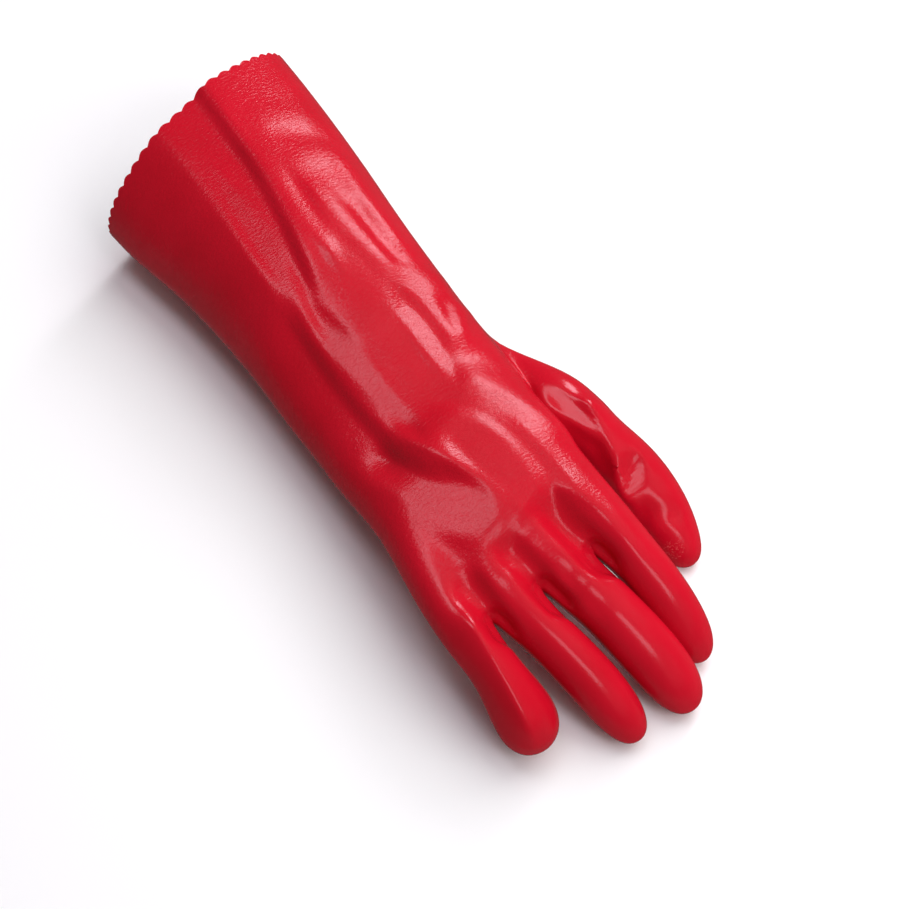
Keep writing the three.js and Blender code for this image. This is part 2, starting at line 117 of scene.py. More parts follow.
# %% [markdown]
# ## A control cage
#
# A soft, closed form with branches is awkward to loft but easy to subdivide. A coarse cage of
# four-cornered faces steers a smooth surface that never creases, so the webs between the fingers
# come out round, as they do on a dipped glove. The smooth surface lies a little inside its cage.
# The two helpers below say by how much, so that the tables can hold real widths.

# %% Small helpers
def smooth(share):
    """Goes gently from 0 to 1."""
    t = np.clip(share, 0.0, 1.0)
    return t * t * (3 - 2 * t)


def mix(a, b, share):
    return a + (b - a) * share


def ring_shrink(corners):
    """How much of a cage ring's radius the smooth surface keeps."""
    return (4 + 2 * math.cos(2 * math.pi / corners)) / 6


LIMB_SHRINK = ring_shrink(8)
SLEEVE_SHRINK = ring_shrink(SIDES)
print("a smooth ring keeps %.3f of a finger, %.3f of the sleeve" % (LIMB_SHRINK, SLEEVE_SHRINK))
cage_points = []
cage_faces = []
thumb_points = []


def add_point(place, on_thumb=False):
    cage_points.append(Vector(place))
    if on_thumb:
        thumb_points.append(len(cage_points) - 1)
    return len(cage_points) - 1


# %% [markdown]
# ## Cross-sections of the sleeve
#
# The empty sleeve is an oval that flares towards the cuff, and the hand ends in a row of four
# knuckles. A loft through ovals alone would lose the knuckles. So both outlines have the same
# twenty points, and each ring mixes the two by its share in the table.

# %% Sleeve cross-sections
def oval_profile(width, height, roll):
    """An oval, turned a little about the length of the sleeve."""
    turn = math.radians(roll)
    profile = []
    for i in range(SIDES):
        angle = math.radians(180 - 360 / SIDES * (i + 1))
        x = width / 2 * math.cos(angle) / SLEEVE_SHRINK
        z = height / 2 * math.sin(angle) / SLEEVE_SHRINK
        turned_x = x * math.cos(turn) - z * math.sin(turn)
        turned_z = x * math.sin(turn) + z * math.cos(turn)
        profile.append((turned_x, turned_z))
    return profile


roots = list(FINGERS.values())
finger_edges = [roots[0][0] - roots[0][1] / 2]
finger_edges += [(a[0] + b[0]) / 2 for a, b in zip(roots, roots[1:])]
finger_edges += [roots[-1][0] + roots[-1][1] / 2]


def knuckle_profile(corner=0.707, valley=0.62):
    """A knuckle over each finger and a valley between two, mirrored below."""
    first, last = roots[0], roots[-1]
    top = [(first[0] - first[1] / 2 * corner / LIMB_SHRINK, first[2] / 2 * corner / LIMB_SHRINK)]
    for k, root in enumerate(roots):
        top.append((root[0], root[2] / 2 / LIMB_SHRINK))
        if k + 1 < len(roots):
            between = (root[2] + roots[k + 1][2]) / 4
            top.append((finger_edges[k + 1], between * valley / LIMB_SHRINK))
    top.append((last[0] + last[1] / 2 * corner / LIMB_SHRINK, last[2] / 2 * corner / LIMB_SHRINK))
    right = (last[0] + last[1] / 2 / LIMB_SHRINK, 0.0)
    left = (first[0] - first[1] / 2 / LIMB_SHRINK, 0.0)
    return top + [right] + [(x, -z) for x, z in reversed(top)] + [left]


def rim_slant(share, x):
    """The rim is cut askew: it reaches further back on the thumb's side."""
    fade = 1 - smooth(share / RIM_SLANT["fades_at"])
    to_thumb = RIM_SLANT["thumb"] * max(0.0, x)
    to_little = RIM_SLANT["little"] * max(0.0, -x - RIM_SLANT["from"])
    return RIM_SLANT["base"] * fade * (x + to_thumb - to_little)


print("borders of the fingers in mm:", [round(edge, 1) for edge in finger_edges])

# %% [markdown]
# ## Rings of the sleeve
#
# Every row of the table becomes one ring of cage points. Wide rows far apart are enough for
# the plain sleeve, and the rows stand closer where the wrist turns into the hand.

# %% Rings of the sleeve
knuckles = knuckle_profile()
rings = []
for share, flare, tall, lift, hand, shift, roll in SECTIONS:
    height = mix(PALM_HEIGHT, CUFF_HEIGHT, tall)
    middle = HAND_LIFT * lift + height / 2 - CUFF_SINK * (1 - lift)
    oval = oval_profile(mix(PALM_WIDTH, CUFF_WIDTH, flare), height, roll)
    ring = []
    for (oval_x, oval_z), (knuckle_x, knuckle_z) in zip(oval, knuckles):
        x = mix(oval_x + shift * PALM_WIDTH, knuckle_x, hand)
        z = mix(oval_z + middle, knuckle_z + KNUCKLE_Z, hand)
        ring.append(add_point((x, WEB_Y + SLEEVE_LENGTH * (1 - share) + rim_slant(share, x), z)))
    rings.append(ring)
print(len(rings), "sleeve rings of", SIDES, "points")

# %% [markdown]
# ## Fingers and thumb
#
# Each finger follows a line that bends twice, at the middle and end joints, the way an empty
# glove keeps the curl of its mould. The line is walked in small steps, so the bends are soft,
# and it carries the directions across and up that the rings round it need.

# %% The line of a finger
BEND_FROM, HOOK_FROM, JOINT_SPREAD = 0.22, 0.52, 0.3
SWING_FROM, SWING_SPREAD = 0.35, 0.5


def middle_line(start, length, yaw, pitch, bend, hook, swing=0.0, steps=60):
    """Walks along a finger: places with the directions across and up."""
    line = []
    place = Vector(start)
    for i in range(steps + 1):
        share = i / steps
        bent = bend * smooth((share - BEND_FROM) / JOINT_SPREAD)
        hooked = hook * smooth((share - HOOK_FROM) / JOINT_SPREAD)
        tilt = math.radians(pitch + bent + hooked)
        turn = math.radians(yaw + swing * smooth((share - SWING_FROM) / SWING_SPREAD))
        flat = math.cos(tilt)
        along = Vector((math.sin(turn) * flat, -math.cos(turn) * flat, -math.sin(tilt)))
        across = Vector((math.cos(turn), math.sin(turn), 0.0))
        line.append((place.copy(), across, along.cross(across)))
        place += along * (length / steps)
    return line


def on_line(line, share):
    """The place and directions at a share of the line."""
    last = len(line) - 1
    i = min(int(share * last), last - 1)
    part = share * last - i
    return [a.lerp(b, part) for a, b in zip(line[i], line[i + 1])]


print("a finger bends from", BEND_FROM, "and again from", HOOK_FROM, "of its length")

# %% [markdown]
# ## Rings round a finger
#
# A finger is a tube of eight-cornered rings, closed by four faces at its tip. Eight corners
# are the fewest that still come out round, and they fit the points that the palm offers. The
# thumb grows from a patch of four faces left open in the side of the palm.

# %% Rings, bands and tips
THUMB_PATCH_ROWS = (7, 8, 9)
THUMB_PATCH_COLUMNS = (9, 10, 11)
LIMB_ANGLES = (135, 90, 45, 0, -45, -90, -135, 180)
THUMB_ANGLES = (45, 0, -45, -90, -135, 180, 135, 90)


def limb_ring(frame_at, width, thick, angles, on_thumb=False):
    """Eight cage points round a finger."""
    place, across, up = frame_at
    ring = []
    for angle in map(math.radians, angles):
        x = width / 2 * math.cos(angle) / LIMB_SHRINK
        z = thick / 2 * math.sin(angle) / LIMB_SHRINK
        ring.append(add_point(place + across * x + up * z, on_thumb))
    return ring


def join_rings(a, b):
    """A band of four-cornered faces between two rings."""
    n = len(a)
    for j in range(n):
        cage_faces.append((a[j], b[j], b[(j + 1) % n], a[(j + 1) % n]))


def close_tip(ring, tip, on_thumb=False):
    """Four faces round one point close a fingertip."""
    middle = add_point(tip, on_thumb)
    for j in range(0, 8, 2):
        cage_faces.append((ring[j], middle, ring[(j + 2) % 8], ring[j + 1]))


print("each ring of a finger has", len(LIMB_ANGLES), "points")

# %% [markdown]
# ## Joining sleeve, fingers and thumb
#
# The last ring of the hand is split among the fingers, and one added point between two fingers
# gives both of them a side wall and so a round web. Boolean unions would leave sharp seams
# there, which a dipped glove never has.

# %% Sleeve faces and webs
for i in range(len(rings) - 1):
    for j in range(SIDES):
        if not (i in THUMB_PATCH_ROWS[:2] and j in THUMB_PATCH_COLUMNS[:2]):
            k = (j + 1) % SIDES
            cage_faces.append((rings[i][j], rings[i + 1][j], rings[i + 1][k], rings[i][k]))

WEB_BACK_TOP, WEB_BACK_BOTTOM = 4, 2
web = rings[-1]
top, bottom = web[0:9], web[18:9:-1]
gaps = [web[19]]
for k in (1, 2, 3):
    gaps.append(add_point((finger_edges[k], WEB_Y - 1, KNUCKLE_Z - 1)))
    cage_points[top[2 * k]].y += WEB_BACK_TOP
    cage_points[bottom[2 * k]].y += WEB_BACK_BOTTOM
gaps.append(web[9])
print("sleeve faces:", len(cage_faces), "with a patch left open for the thumb")

# %% [markdown]
# ## Growing the limbs
#
# A finger starts on its part of the knuckle ring and follows its line ring by ring. Its outer
# part is drawn flatter, because empty fingertips sag. The little finger gets a wider tip.

# %% Fingers, then the thumb
TIP_NORMAL, TIP_FROM, TIP_SPREAD = 0.9, 0.3, 0.5
SAG_FROM, SAGGED, UNSAGGED = 0.6, 0.93, 0.97
for k, (x, width, thick, length, yaw, pitch, bend, hook, tip) in enumerate(roots):
    line = middle_line((x, WEB_Y, KNUCKLE_Z), length, yaw, pitch, bend, hook)
    ring = [*top[2 * k:2 * k + 3], gaps[k + 1], *reversed(bottom[2 * k:2 * k + 3]), gaps[k]]
    for share, size in FINGER_ROWS:
        size *= 1 + (tip / TIP_NORMAL - 1) * smooth((share - TIP_FROM) / TIP_SPREAD)
        flat = SAGGED if share > SAG_FROM else UNSAGGED
        following = limb_ring(on_line(line, share), width * size, thick * size * flat, LIMB_ANGLES)
        join_rings(ring, following)
        ring = following
    close_tip(ring, on_line(line, 1.0)[0])

a, b, c = THUMB_PATCH_ROWS
u, v, w = THUMB_PATCH_COLUMNS
border = [(a, u), (a, v), (a, w), (b, w), (c, w), (c, v), (c, u), (b, u)]
ring = [rings[i][j] for i, j in border]
line = middle_line(THUMB_ROOT, THUMB_SIZE[2], **THUMB_TURN)
for share, size in THUMB_ROWS:
    wide, thick = THUMB_SIZE[0] * size, THUMB_SIZE[1] * size
    following = limb_ring(on_line(line, share), wide, thick, THUMB_ANGLES, True)
    join_rings(ring, following)
    ring = following
close_tip(ring, on_line(line, 1.0)[0], True)
print("cage:", len(cage_points), "points,", len(cage_faces), "faces")

# %% [markdown]
# ## From modifiers to plain meshes
#
# Several modifiers shape the skin one after another, and between them its points are moved by
# formula. So each modifier is turned into plain mesh before the next step starts. A stack left
# live would be easier to change, but the formulas could not reach into it.

# %% Objects and modifiers
def new_object(name, points, faces):
    mesh = bpy.data.meshes.new(name)
    mesh.from_pydata([tuple(p) for p in points], [], faces)
    mesh.validate()
    made = bpy.data.objects.new(name, mesh)
    bpy.context.scene.collection.objects.link(made)
    return made


def flatten_modifiers(obj, name):
    """Swaps the object for a plain mesh of what its modifiers give."""
    graph = bpy.context.evaluated_depsgraph_get()
    mesh = bpy.data.meshes.new_from_object(
        obj.evaluated_get(graph), preserve_all_data_layers=True, depsgraph=graph
    )
    mesh.name = name
    obj.modifiers.clear()
    obj.data = mesh
    return mesh


# %% [markdown]
# ## A smooth skin
#
# The Subdivision Surface modifier turns the cage into the smooth skin. Three levels give faces
# of about two millimetres, fine enough for the narrow folds that follow. A vertex group marks
# the thumb, and the modifier fades it over the thumb's root, so later folds can tell the two
# apart.

# %% Subdivide the cage
used = sorted({corner for face in cage_faces for corner in face})
place_of = {old: new for new, old in enumerate(used)}
skin = new_object(
    "glove_skin",
    [cage_points[i] for i in used],
    [[place_of[corner] for corner in face] for face in cage_faces],
)
thumb_group = skin.vertex_groups.new(name="thumb")
thumb_group.add([place_of[i] for i in thumb_points], 1.0, "REPLACE")
rounding = skin.modifiers.new("rounding", "SUBSURF")
rounding.levels = rounding.render_levels = 3
rounding.use_limit_surface = True
skin_mesh = flatten_modifiers(skin, "glove_skin")
print("smooth skin:", len(skin_mesh.polygons), "faces")

# %% [markdown]
# ## Points as arrays
#
# The folds move tens of thousands of points. As one array they move in a moment, where a loop
# over single points would take much longer.

# %% Read and write the points
def read_places(mesh):
    flat = np.empty(len(mesh.vertices) * 3, dtype=np.float32)
    mesh.vertices.foreach_get("co", flat)
    return flat.reshape(-1, 3).astype(float)


def read_normals(mesh):
    flat = np.empty(len(mesh.vertices) * 3, dtype=np.float32)
    mesh.vertices.foreach_get("normal", flat)
    return flat.reshape(-1, 3).astype(float)


def write_places(mesh, places):
    mesh.vertices.foreach_set("co", places.astype(np.float32).ravel())
    mesh.update()


on_thumb = np.array([v.groups[0].weight if v.groups else 0.0 for v in skin_mesh.vertices])
print("skin:", len(skin_mesh.vertices), "points, of them on the thumb:", int((on_thumb > 0.5).sum()))

# %% [markdown]
# ## Folds and dents
#
# Empty PVC keeps a few broad folds along the sleeve, a deep dent on the back of the hand and
# wrinkles at the thumb. They could be sculpted by hand, but a table keeps them exact and easy to
# change. Each row is one fold, from (x0, y0) to (x1, y1) seen from above, with the widths of its
# two slopes, its rise, and how sharp its crest is. A negative rise is a dent.

# %% Fold tables
BROAD_FOLDS = [
    # on, x0, y0, x1, y1, bow, left, right, rise, sharp
    ("back", 9, 212, -13, 44, 7, 7, 34, 3.4, 0.6),
    ("back", 2, 150, -18, 48, 6, 5, 6, -1.0, 0.0),
    ("back", -20, 196, -28, 34, 3, 24, 16, 1.8, 0.6),
    ("back", -27, 66, -27, -36, -3, 20, 7, -2.6, 0.3),
    ("back", 44, 50, 28, -4, 0, 16, 8, 1.6, 0.3),
    ("back", -25, -14, -6, -76, 4, 6, 28, 2.2, 0.6),
    ("back", -18, -20, 0, -102, 2, 30, 44, 2.2, 0.1),
    ("back", -35, -12, -14, -70, 1, 12, 6, -2.4, 0.2),
    ("back", 14, -4, 44, -64, 2, 20, 14, 1.8, 0.3),
    ("back", 22, -30, 30, -132, 1, 12, 12, 2.4, 0.4),
    ("back", -10, -84, 30, -92, 14, 8, 16, 1.6, 0.5),
    ("back", -28, -93, 22, -100, 11, 12, 12, -1.4, 0.0),
    ("back", 9, -68, 18, -122, 0, 10, 10, -4.4, 0.0),
    ("back", -14, -80, -9, -124, 0, 9, 9, -3.2, 0.0),
    ("back", -36, -82, -36, -120, 0, 10, 9, -3.0, 0.0),
    ("back", -44, -92, -50, -160, 0, 10, 14, 3.4, 0.7),
    ("thumb", 60, -38, 54, -77, 1, 6, 14, 3.2, 0.7),
    ("thumb", 51, -76, 68, -78, 0, 9, 8, 2.4, 0.6),
]
FINE_FOLDS = [
    ("back", 14, 150, 48, 143, 1, 10, 10, 0.35, 0.0),
    ("back", 18, 139, 48, 128, -2, 8, 8, -0.6, 0.0),
    ("back", 14, 117, 46, 114, 3, 10, 9, 0.4, 0.0),
    ("back", 19, 112, 25, 40, -2, 8, 9, 0.9, 0.0),
    ("back", 31, 92, 31, 46, 0, 7, 7, -1.0, 0.0),
    ("back", 42, 124, 34, 48, 0, 8, 8, 0.9, 0.0),
    ("back", 38, 32, 28, 0, 0, 5, 7, -1.2, 0.2),
    ("back", 46, 28, 26, 2, 0, 7, 7, 1.2, 0.2),
    ("back", -4, -111, 14, -109, 0, 10, 10, -0.9, 0.0),
    ("back", -2, -126, 18, -124, 0, 10, 10, -0.7, 0.0),
    ("thumb", 53, -73, 49, -91, 0, 6, 10, 1.8, 0.6),
    ("thumb", 48, -96, 67, -107, 0, 7, 8, -1.3, 0.2),
]
print("folds:", len(BROAD_FOLDS), "broad and", len(FINE_FOLDS), "fine")

# %% [markdown]
# ## Flat facets
#
# Glossy PVC shows its folds mostly by flat strips that mirror a light, with a sharp end to
# each strip. A sum of round folds has none. So another table lists ellipses of the skin that
# are pressed onto a slanting plane: centre, two half lengths, turn in degrees, depth and the
# slopes across and along the glove.

# %% Facet table
FLAT_FACETS = [
    # on, x0, y0, long, short, turn, sink, slope_x, slope_y
    ("back", -15, 96, 48, 6.0, 84, 0.2, 0.20, 0.02),
    ("back", 9, 88, 28, 4.5, 80, 0.1, -0.33, 0.04),
    ("back", -15, 14, 38, 7.0, 92, 0.2, 0.20, 0.07),
    ("back", 17, 14, 26, 7.0, 84, 0.3, -0.36, 0.07),
    ("back", -20, -60, 25, 15, -52, 0.0, 0.20, 0.03),
    ("back", 5, -50, 30, 12, 101, 0.0, -0.03, 0.08),
    ("thumb", 53, -44, 20, 5.0, 100, 0.1, 0.21, 0.08),
    ("thumb", 57, -83, 13, 6.5, 42, 0.3, 0.21, 0.12),
]
print("facets:", len(FLAT_FACETS))

# %% [markdown]
# ## Pressing the folds in
#
# Each fold lifts the skin along its normals, only on the upper side, and fades at its two ends.
# The palm stays plain: it lies on the table and is not seen. Cloth simulation would fold the
# glove too, but never in the places where this one is folded.

# %% Press the folds into the skin
FOLD_END = 0.22
UPPER_FROM, UPPER_SPREAD = 0.05, 0.35


def fold_rise(row, x, y):
    """How far one fold lifts the points, in millimetres."""
    on, x0, y0, x1, y1, bow, left, right, rise, sharp = row
    dx, dy = x1 - x0, y1 - y0
    length = math.hypot(dx, dy)
    along = ((x - x0) * dx + (y - y0) * dy) / length**2
    side = ((y - y0) * dx - (x - x0) * dy) / length - bow * 4 * along * (1 - along)
    share = np.minimum(np.abs(side) / np.where(side < 0, left, right), 1.0)
    form = mix((1 - share**2) ** 2, (1 - share) ** 2, sharp)
    ends = smooth(along / FOLD_END) * smooth((1 - along) / FOLD_END)
    return rise * ends * form


places = read_places(skin_mesh)
normals = read_normals(skin_mesh)
upper = smooth((normals[:, 2] - UPPER_FROM) / UPPER_SPREAD)
lifted = np.zeros(len(places))
for row in BROAD_FOLDS + FINE_FOLDS:
    share = on_thumb if row[0] == "thumb" else 1 - on_thumb
    lifted += share * upper * fold_rise(row, places[:, 0], places[:, 1])
places += normals * lifted[:, None]
print("folds lift the skin by %.1f to %.1f mm" % (lifted.min(), lifted.max()))

# %% [markdown]
# ## Pressing the facets flat
#
# Inside an ellipse the skin is drawn to one plane, fully in the middle and less towards the
# border, so that a soft edge stays. The plane has the mean height of what it replaces, less a
# small depth, so a facet does not stand out.

# %% Press the facets flat
FACET_CORE, FACET_EDGE = 0.6, 0.6


def press_flat(places, on, x0, y0, long, short, turn, sink, slope_x, slope_y):
    """Draws the upper side inside an ellipse to a slanting plane."""
    dx, dy = places[:, 0] - x0, places[:, 1] - y0
    along = dx * math.cos(math.radians(turn)) + dy * math.sin(math.radians(turn))
    across = dy * math.cos(math.radians(turn)) - dx * math.sin(math.radians(turn))
    reach = np.hypot(along / long, across / short)
    share = (1 - smooth((reach - FACET_CORE) / FACET_EDGE)) * upper
    share = share * (on_thumb if on == "thumb" else 1 - on_thumb)
    slant = slope_x * dx + slope_y * dy
    height = np.average(places[:, 2] - slant, weights=share) - sink
    places[:, 2] = mix(places[:, 2], height + slant, share)


for row in FLAT_FACETS:
    press_flat(places, *row)
write_places(skin_mesh, places)
print("facets pressed flat:", len(FLAT_FACETS))

# %% [markdown]
# ## The pinked edge
#
# The cuff is cut with pinking shears, which leaves a row of small round teeth. They repeat, so
# Geometry Nodes make them: a narrow strip is added to the rim, and a node tree moves its outer
# points in a wave. Teeth and depth are inputs, so another cuff can be cut in another pattern.

# %% Find the rim and put its points in order
EDGE_STRIP = 5.0
EDGE_STEPS = 3
TEETH = 48
TOOTH_DEPTH = 1.5

places = read_places(skin_mesh)
edge_uses = {}
directed = set()
for face in skin_mesh.polygons:
    for key in face.edge_keys:
        edge_uses[key] = edge_uses.get(key, 0) + 1
    corners = list(face.vertices)
    directed.update(zip(corners, corners[1:] + corners[:1]))
rim_points = {corner for key, uses in edge_uses.items() if uses == 1 for corner in key}
behind = {}
for p, q in edge_uses:
    if p in rim_points and q not in rim_points:
        behind[p] = q
    if q in rim_points and p not in rim_points:
        behind[q] = p
centre = np.mean([places[i] for i in rim_points], axis=0)
rim = sorted(rim_points, key=lambda i: math.atan2(places[i][2] - centre[2], places[i][0] - centre[0]))
if (rim[0], rim[1]) in directed:
    rim.reverse()
outward = [places[i] - places[behind[i]] for i in rim]
outward = [way / np.linalg.norm(way) for way in outward]
print("rim of the cage:", len(rim), "points")

# %% [markdown]
# ## The strip that gets the teeth
#
# A tooth needs several points, more than the skin has there. Only a narrow strip along the rim
# gets them: finer faces all over would cost ten times as many.

# %% A fine strip along the rim
faces = [tuple(face.vertices) for face in skin_mesh.polygons]
points = [tuple(p) for p in places]
count = len(rim) * EDGE_STEPS
strip = []
for i in range(count):
    j, part = divmod(i, EDGE_STEPS)
    k = (j + 1) % len(rim)
    part /= EDGE_STEPS
    foot = mix(places[rim[j]], places[rim[k]], part)
    strip.append(len(points))
    points.append(tuple(foot + mix(outward[j], outward[k], part) * EDGE_STRIP))
for j in range(len(rim)):
    row = [strip[(j * EDGE_STEPS + s) % count] for s in range(EDGE_STEPS + 1)]
    here, there = rim[j], rim[(j + 1) % len(rim)]
    faces += [(here, row[1], row[0]), (here, there, row[2], row[1]), (there, row[3], row[2])]
whole = new_object("glove_whole", points, faces)
print("rim strip:", count, "points for", TEETH, "teeth")

# %% [markdown]
# ## Marks on the skin
#
# The node tree has to know the rim, and the coating is a little smoother on the fingers and
# the thumb, where the knit is pulled tight. Named values on the points carry both.

# %% Mark the limbs and the rim
LIMB_FROM, LIMB_FADE = WEB_Y + 40, 50
limb_share = np.zeros(len(points), dtype=np.float32)
limb_share[:len(places)] = np.maximum(on_thumb, smooth((LIMB_FROM - places[:, 1]) / LIMB_FADE))
edge_share = np.zeros(len(points), dtype=np.float32)
edge_share[strip] = 1.0
turn_share = np.zeros(len(points), dtype=np.float32)
turn_share[strip] = np.arange(count) / count
for name, values in (("limb", limb_share), ("edge", edge_share), ("turn", turn_share)):
    whole.data.attributes.new(name, "FLOAT", "POINT").data.foreach_set("value", values)
print("points on fingers and thumb:", int((limb_share > 0.5).sum()))

# %% [markdown]
# ## The coating
#
# PVC dipped over knit is never a perfect mirror. The knit shows through as a fine grain that
# breaks up broad highlights, the gloss is a little uneven, and a few rubbed specks catch the
# light. Each of the three has its own node group, with its measures as inputs. One large tree
# would give the same picture, but groups can be used again on another glove.

# %% Node group helpers
def node_group(name, inputs, outputs):
    """A shader node group with named sockets, and its two end nodes."""
    group = bpy.data.node_groups.new(name, "ShaderNodeTree")
    for label, kind, value in inputs:
        made = group.interface.new_socket(label, in_out="INPUT", socket_type=kind)
        if value is not None:
            made.default_value = value
    for label, kind in outputs:
        group.interface.new_socket(label, in_out="OUTPUT", socket_type=kind)
    return group, group.nodes.new("NodeGroupInput"), group.nodes.new("NodeGroupOutput")


def add_node(tree, kind, settings=None, values=None):
    """One node, with its settings and the values of its inputs."""
    node = tree.nodes.new(kind)
    for key, value in (settings or {}).items():
        setattr(node, key, value)
    for key, value in (values or {}).items():
        node.inputs[key].default_value = value
    return node


def link(tree, *pairs):
    for start, end in pairs:
        tree.links.new(start, end)


print("node groups before the coating:", len(bpy.data.node_groups))

# %% [markdown]
# ## The grain of the knit
#
# Each stitch under the coating leaves a low bump, about twice as long across the hand as along
# it. A photographed bump map would repeat, so two noises make it: one stretched, for the
# stitches, and a finer one, for the skin of the PVC.

# %% The grain of the knit
STITCH_STRETCH = (0.45, 1.0, 0.45)
grain, grain_in, grain_out = node_group(
    "knit_grain",
    [("Vector", "NodeSocketVector", None), ("Stitches per metre", "NodeSocketFloat", 950.0)],
    [("Height", "NodeSocketFloat")],
)
stretch = add_node(grain, "ShaderNodeVectorMath", {"operation": "MULTIPLY"}, {1: STITCH_STRETCH})
ribs = add_node(grain, "ShaderNodeTexNoise", None, {"Detail": 1.0, "Roughness": 0.4, "Distortion": 0.3})
specks = add_node(grain, "ShaderNodeTexNoise", None, {"Scale": 1700.0, "Detail": 1.0, "Roughness": 0.5})
blend = add_node(grain, "ShaderNodeMix", {"data_type": "FLOAT"}, {"Factor": 0.35})
link(
    grain,
    (grain_in.outputs["Vector"], stretch.inputs[0]),
    (stretch.outputs["Vector"], ribs.inputs["Vector"]),
    (grain_in.outputs["Stitches per metre"], ribs.inputs["Scale"]),
    (grain_in.outputs["Vector"], specks.inputs["Vector"]),
    (ribs.outputs["Fac"], blend.inputs[2]),
    (specks.outputs["Fac"], blend.inputs[3]),
    (blend.outputs[0], grain_out.inputs["Height"]),
)
print("group", grain.name, "has", len(grain.nodes), "nodes")

# %% [markdown]
# ## Uneven tone
#
# A dipped coat is a bit thicker here and thinner there, so neither its colour nor its gloss is
# quite even. One group of soft patches serves both, each with its own size and range.

# %% Uneven tone
tone, tone_in, tone_out = node_group(
    "uneven_tone",
    [
        ("Vector", "NodeSocketVector", None),
        ("Patches per metre", "NodeSocketFloat", 14.0),
        ("Low", "NodeSocketFloat", 0.0),
        ("High", "NodeSocketFloat", 1.0),
    ],
    [("Value", "NodeSocketFloat")],
)
patches = add_node(tone, "ShaderNodeTexNoise", None, {"Detail": 3.0, "Roughness": 0.55})
spread = add_node(tone, "ShaderNodeMapRange", None, {"From Min": 0.3, "From Max": 0.7})
link(
    tone,
    (tone_in.outputs["Vector"], patches.inputs["Vector"]),
    (tone_in.outputs["Patches per metre"], patches.inputs["Scale"]),
    (patches.outputs["Fac"], spread.inputs["Value"]),
    (tone_in.outputs["Low"], spread.inputs["To Min"]),
    (tone_in.outputs["High"], spread.inputs["To Max"]),
    (spread.outputs["Result"], tone_out.inputs["Value"]),
)
print("group", tone.name, "has", len(tone.nodes), "nodes")

# %% [markdown]
# ## Rubbed specks
#
# Near its end the thumb is rubbed a little paler in a few small specks. A painted mask would
# need an image, so the peaks of a noise are kept, within a short distance of one point.

# %% Rubbed specks
SPECK_LEVEL = 0.61
rubbed, rubbed_in, rubbed_out = node_group(
    "rubbed_specks",
    [
        ("Vector", "NodeSocketVector", None),
        ("Centre", "NodeSocketVector", None),
        ("Radius", "NodeSocketFloat", 0.006),
        ("Specks per metre", "NodeSocketFloat", 1500.0),
    ],
    [("Mask", "NodeSocketFloat")],
)
away = add_node(rubbed, "ShaderNodeVectorMath", {"operation": "DISTANCE"})
near = add_node(rubbed, "ShaderNodeMath", {"operation": "LESS_THAN"})
dots = add_node(rubbed, "ShaderNodeTexNoise", None, {"Detail": 1.0})
bright = add_node(rubbed, "ShaderNodeMath", {"operation": "GREATER_THAN"}, {1: SPECK_LEVEL})
both = add_node(rubbed, "ShaderNodeMath", {"operation": "MULTIPLY"})
link(
    rubbed,
    (rubbed_in.outputs["Vector"], away.inputs[0]),
    (rubbed_in.outputs["Centre"], away.inputs[1]),
    (away.outputs["Value"], near.inputs[0]),
    (rubbed_in.outputs["Radius"], near.inputs[1]),
    (rubbed_in.outputs["Vector"], dots.inputs["Vector"]),
    (rubbed_in.outputs["Specks per metre"], dots.inputs["Scale"]),
    (dots.outputs["Fac"], bright.inputs[0]),
    (near.outputs["Value"], both.inputs[0]),
    (bright.outputs["Value"], both.inputs[1]),
    (both.outputs["Value"], rubbed_out.inputs["Mask"]),
)
print("group", rubbed.name, "has", len(rubbed.nodes), "nodes")

# %% [markdown]
# ## The red coating
#
# Red PVC reflects almost nothing but red, so its green and blue stay near zero and all that is
# pale on it is mirrored light. One material serves both sides of the wall: the marked inner
# faces turn to bare cotton, dull and undyed. Two materials would do too, but the part has one
# slot for one dipped piece.

# %% Colours and nodes of the coating
THUMB_SCUFF = (0.046, -0.121, 0.012)
PVC_RED = (0.52, 0.004, 0.017, 1.0)
PVC_DEEP = (0.46, 0.003, 0.013, 1.0)
COTTON = (0.62, 0.57, 0.50, 1.0)
RUBBED = (0.60, 0.05, 0.06, 1.0)

coating = bpy.data.materials.new("red_pvc")
coating.use_nodes = True
tree = coating.node_tree
surface = tree.nodes["Principled BSDF"]
surface.inputs["IOR"].default_value = 1.5
surface.inputs["Specular IOR Level"].default_value = 0.3
surface.inputs["Coat Roughness"].default_value = 0.12
coords = add_node(tree, "ShaderNodeTexCoord")
inside = add_node(tree, "ShaderNodeAttribute", {"attribute_name": "inside"})
limb = add_node(tree, "ShaderNodeAttribute", {"attribute_name": "limb"})
knit = add_node(tree, "ShaderNodeGroup", {"node_tree": grain})
shade = add_node(tree, "ShaderNodeGroup", {"node_tree": tone}, {"Patches per metre": 22.0})
gloss = add_node(
    tree, "ShaderNodeGroup", {"node_tree": tone}, {"Patches per metre": 60.0, "Low": 0.19, "High": 0.25}
)
scuff = add_node(
    tree, "ShaderNodeGroup", {"node_tree": rubbed}, {"Centre": THUMB_SCUFF, "Radius": 0.0045}
)
red = add_node(tree, "ShaderNodeMix", {"data_type": "RGBA"}, {6: PVC_DEEP, 7: PVC_RED})
worn = add_node(tree, "ShaderNodeMix", {"data_type": "RGBA"}, {7: RUBBED})
colour = add_node(tree, "ShaderNodeMix", {"data_type": "RGBA"}, {7: COTTON})
smoother = add_node(tree, "ShaderNodeMix", {"data_type": "FLOAT"}, {3: 0.18})
rough = add_node(tree, "ShaderNodeMix", {"data_type": "FLOAT"}, {3: 0.9})
coat = add_node(tree, "ShaderNodeMix", {"data_type": "FLOAT"}, {2: 0.1, 3: 0.0})
faint = add_node(tree, "ShaderNodeMix", {"data_type": "FLOAT"}, {2: 1.0, 3: 0.25})
